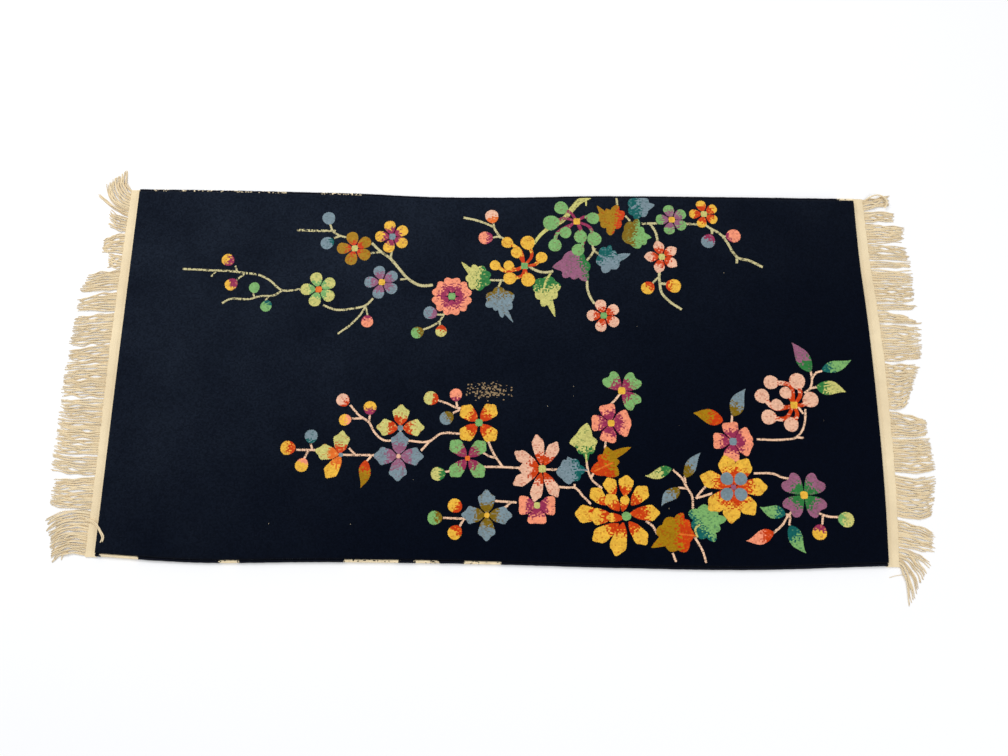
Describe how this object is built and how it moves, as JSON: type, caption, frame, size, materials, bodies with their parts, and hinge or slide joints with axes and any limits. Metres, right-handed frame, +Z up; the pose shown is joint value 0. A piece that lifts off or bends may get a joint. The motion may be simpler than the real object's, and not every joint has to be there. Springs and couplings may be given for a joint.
{
  "type": "chinese art deco scatter rug",
  "caption": "Flat hand-knotted wool scatter rug, navy ground with scattered flower sprays, overcast long sides, woven cream end webs and combed-out cream fringe.",
  "frame": {"origin": "middle of the whole rug's box, on the floor under it", "axes": "+X along the rug towards its right fringe, +Y across it towards its far long side, +Z up out of the pile"},
  "size_m": [1.4048, 0.7038, 0.011],
  "materials": {
    "wool_pile": "cut wool pile, matt with a faint sheen",
    "selvedge_wool": "dark overcast wool, worn through to cream cotton in places",
    "cotton_warp": "soft unbleached cotton, matt"
  },
  "bodies": {
    "root": {"pile_field": "wool_pile", "selvedge_far": "selvedge_wool", "selvedge_near": "selvedge_wool", "fringe_left": "cotton_warp", "fringe_right": "cotton_warp"}
  },
  "joints": []
}
